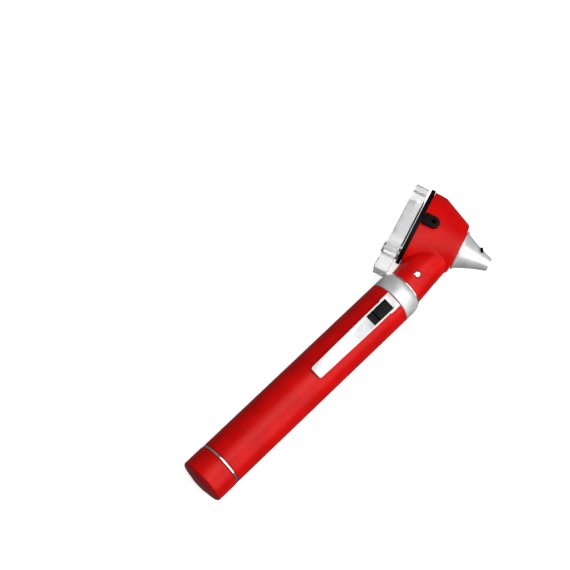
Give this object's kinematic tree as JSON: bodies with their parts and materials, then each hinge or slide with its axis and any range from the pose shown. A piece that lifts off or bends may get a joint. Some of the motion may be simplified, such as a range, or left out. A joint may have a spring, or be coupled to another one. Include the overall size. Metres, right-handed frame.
{
  "type": "otoscope",
  "caption": "Pocket otoscope: round battery handle with clip and slide switch, angled light head with metal nose cone and swivelling magnifier.",
  "frame": {"origin": "middle of the underside, with the otoscope lying on its side", "axes": "+Y up the handle to the head, +X to the nose side, +Z the side with the clip, switch and port"},
  "size_m": [0.0464, 0.162, 0.0221],
  "materials": {
    "red_lacquer": "glossy moulded red",
    "bright_metal": "bright plated",
    "satin_metal": "satin, fine turned",
    "clip_steel": "satin, brushed along its length",
    "spring_steel": "drawn wire and strip",
    "black_plastic": "fine moulded grain",
    "black_rubber": "matt",
    "brass": "plain",
    "cell_jacket": "printed sleeve, left plain",
    "clear_glass": "clear",
    "fibre_glass": "bundled fibres",
    "clear_acrylic": "clear, polished",
    "lens_acrylic": "clear, optical"
  },
  "bodies": {
    "handle": {"handle_tube": "red_lacquer", "collar": "satin_metal", "contact_strip": "brass", "insulator_disc": "black_plastic", "contact_pin": "brass", "battery_lower": "cell_jacket", "battery_upper": "cell_jacket", "clip_anchor": "spring_steel"},
    "clip": {"pocket_clip": "clip_steel"},
    "switch": {"switch_slider": "black_plastic", "switch_contact": "brass"},
    "cap_ring": {"cap_ring": "bright_metal"},
    "cap": {"end_cap": "red_lacquer", "cap_thread_sleeve": "bright_metal", "battery_spring": "spring_steel"},
    "neck_washer": {"neck_washer": "bright_metal"},
    "head": {"head_shell": "red_lacquer", "neck_sleeve": "bright_metal", "head_screw": "bright_metal", "lamp_base": "bright_metal", "lamp_contact": "brass", "lamp_glass": "clear_glass", "light_guide": "fibre_glass", "window_frame": "black_plastic", "insufflation_port": "black_plastic", "nose_cone": "satin_metal", "nose_nut": "bright_metal", "sight_tube": "black_plastic", "fibre_ring": "fibre_glass", "speculum_stud": "black_plastic", "lens_pivot_screw": "bright_metal", "pivot_washer": "spring_steel"},
    "lens": {"lens_holder": "clear_acrylic", "magnifier_lens": "lens_acrylic", "lens_seal": "black_rubber"}
  },
  "joints": [
    {"name": "clip_flex", "type": "hinge", "parent": "handle", "child": "clip", "pos_m": [0.00598, 0.02805, 0.02039], "axis": [-0.9938, 0, 0.1115], "range_deg": [0, 4], "stiffness_Nm_per_rad": 1.2, "springref_deg": -2.29},
    {"name": "switch_slide", "type": "slide", "parent": "handle", "child": "switch", "axis": [0, -1, 0], "range_m": [0, 0.0034]},
    {"name": "cap_travel", "type": "slide", "parent": "handle", "child": "cap_ring", "axis": [0, -1, 0], "range_m": [0, 0.005]},
    {"name": "cap_turn", "type": "hinge", "parent": "cap_ring", "child": "cap", "pos_m": [0.00483, -0.06865, 0.01015], "axis": [0, -1, 0], "range_deg": [0, 1440]},
    {"name": "head_lift", "type": "slide", "parent": "handle", "child": "neck_washer", "axis": [0, 1, 0], "range_m": [0, 0.003]},
    {"name": "head_turn", "type": "hinge", "parent": "neck_washer", "child": "head", "pos_m": [0.00483, -0.06865, 0.01015], "axis": [0, 1, 0], "range_deg": [0, 1080]},
    {"name": "lens_swivel", "type": "hinge", "parent": "head", "child": "lens", "pos_m": [-0.00553, 0.04852, 0.01015], "axis": [0.9494, 0.314, 0], "range_deg": [0, 110]}
  ],
  "couplings": [
    {"joint": "cap_turn", "follows": "cap_travel", "rad_per_m": 5026.5},
    {"joint": "head_turn", "follows": "head_lift", "rad_per_m": 6283.2}
  ]
}
